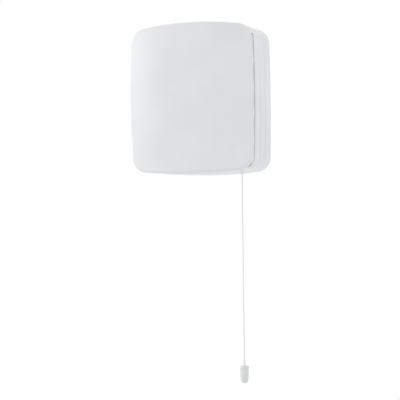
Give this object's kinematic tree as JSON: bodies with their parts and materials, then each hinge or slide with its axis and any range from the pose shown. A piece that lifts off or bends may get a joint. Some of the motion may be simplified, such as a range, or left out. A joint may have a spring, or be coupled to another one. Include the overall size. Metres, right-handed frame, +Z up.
{
  "type": "centrifugal extractor fan",
  "caption": "Wall-mounted centrifugal extractor fan with a bowed white cover, side inlet slots, a rear duct spigot with backdraught flaps and a pull cord.",
  "frame": {"origin": "middle of the flat back that stands against the wall", "axes": "+Z up, -Y out of the wall through the bowed front, +X to the right as seen from the room"},
  "size_m": [0.23, 0.17, 0.6315],
  "materials": {
    "white_abs": "smooth satin white moulding",
    "base_abs": "satin white moulding",
    "grey_moulding": "plain pale moulding",
    "impeller_plastic": "dark glass-filled moulding",
    "flap_plastic": "thin pale moulding",
    "steel": "ground steel",
    "screw_zinc": "zinc plated",
    "lamination": "varnished steel laminations",
    "bobbin_nylon": "natural nylon",
    "winding_tape": "taped coil",
    "die_cast": "die cast",
    "bronze": "sintered bronze",
    "brass": "bright brass",
    "rubber": "soft black rubber",
    "foam": "closed-cell foam",
    "terminal_plastic": "natural polyamide",
    "switch_plastic": "white moulding",
    "cord_white": "braided white nylon",
    "pull_plastic": "white moulding"
  },
  "bodies": {
    "housing": {"back_box": "base_abs", "scroll_housing": "grey_moulding", "inlet_plate": "grey_moulding", "stator_core": "lamination", "coil_bobbin": "bobbin_nylon", "motor_winding": "winding_tape", "motor_bracket_front": "die_cast", "motor_bracket_rear": "die_cast", "bearing_front": "bronze", "bearing_rear": "bronze", "motor_grommets": "rubber", "motor_tie_screws": "screw_zinc", "scroll_screws": "screw_zinc", "inlet_plate_screws": "screw_zinc", "duct_spigot": "grey_moulding", "spigot_seal": "foam", "spigot_screws": "screw_zinc", "damper_pin": "steel", "damper_spring": "steel", "terminal_block": "terminal_plastic", "terminal_screws": "brass", "terminal_fixing_screws": "screw_zinc", "cable_clamp": "terminal_plastic", "clamp_screws": "screw_zinc", "cable_grommet": "rubber", "switch_body": "switch_plastic", "switch_cover": "switch_plastic", "switch_contacts": "brass", "switch_screws": "screw_zinc", "lever_pin": "steel", "switch_spring": "steel"},
    "rotor": {"impeller": "impeller_plastic", "impeller_clip": "steel", "motor_shaft": "steel", "rotor_core": "lamination"},
    "left_flap": {"damper_flap_left": "flap_plastic"},
    "right_flap": {"damper_flap_right": "flap_plastic"},
    "pull": {"pull_cord": "cord_white", "cord_connector": "pull_plastic", "cord_acorn": "pull_plastic"},
    "lever": {"switch_lever": "switch_plastic"},
    "cover": {"front_cover": "white_abs"}
  },
  "joints": [
    {"name": "wheel_spin", "type": "hinge", "parent": "housing", "child": "rotor", "pos_m": [-0.014, -0.05, -0.034], "axis": [0, 1, 0], "continuous": true},
    {"name": "left_flap_swing", "type": "hinge", "parent": "housing", "child": "left_flap", "pos_m": [-0.03725, 0.014, 0.06], "axis": [0, 0, -1], "range_deg": [0, 80], "stiffness_Nm_per_rad": 0.0015, "springref_deg": -20.05},
    {"name": "right_flap_swing", "type": "hinge", "parent": "housing", "child": "right_flap", "pos_m": [-0.03725, 0.014, 0.06], "axis": [0, 0, 1], "range_deg": [0, 80], "stiffness_Nm_per_rad": 0.0015, "springref_deg": -20.05},
    {"name": "cord_pull", "type": "slide", "parent": "housing", "child": "pull", "axis": [0, 0, -1], "range_m": [0, 0.007], "stiffness_N_per_m": 600, "springref_m": -0.004},
    {"name": "lever_rock", "type": "hinge", "parent": "housing", "child": "lever", "pos_m": [0.0872, -0.033, -0.09263], "axis": [0, -1, 0], "range_deg": [0, 25], "deforming": ["switch_spring"]},
    {"name": "cover_lift_off", "type": "slide", "parent": "housing", "child": "cover", "axis": [0, -1, 0], "range_m": [0, 0.12]}
  ],
  "couplings": [
    {"joint": "lever_rock", "follows": "cord_pull", "rad_per_m": 60.606}
  ]
}
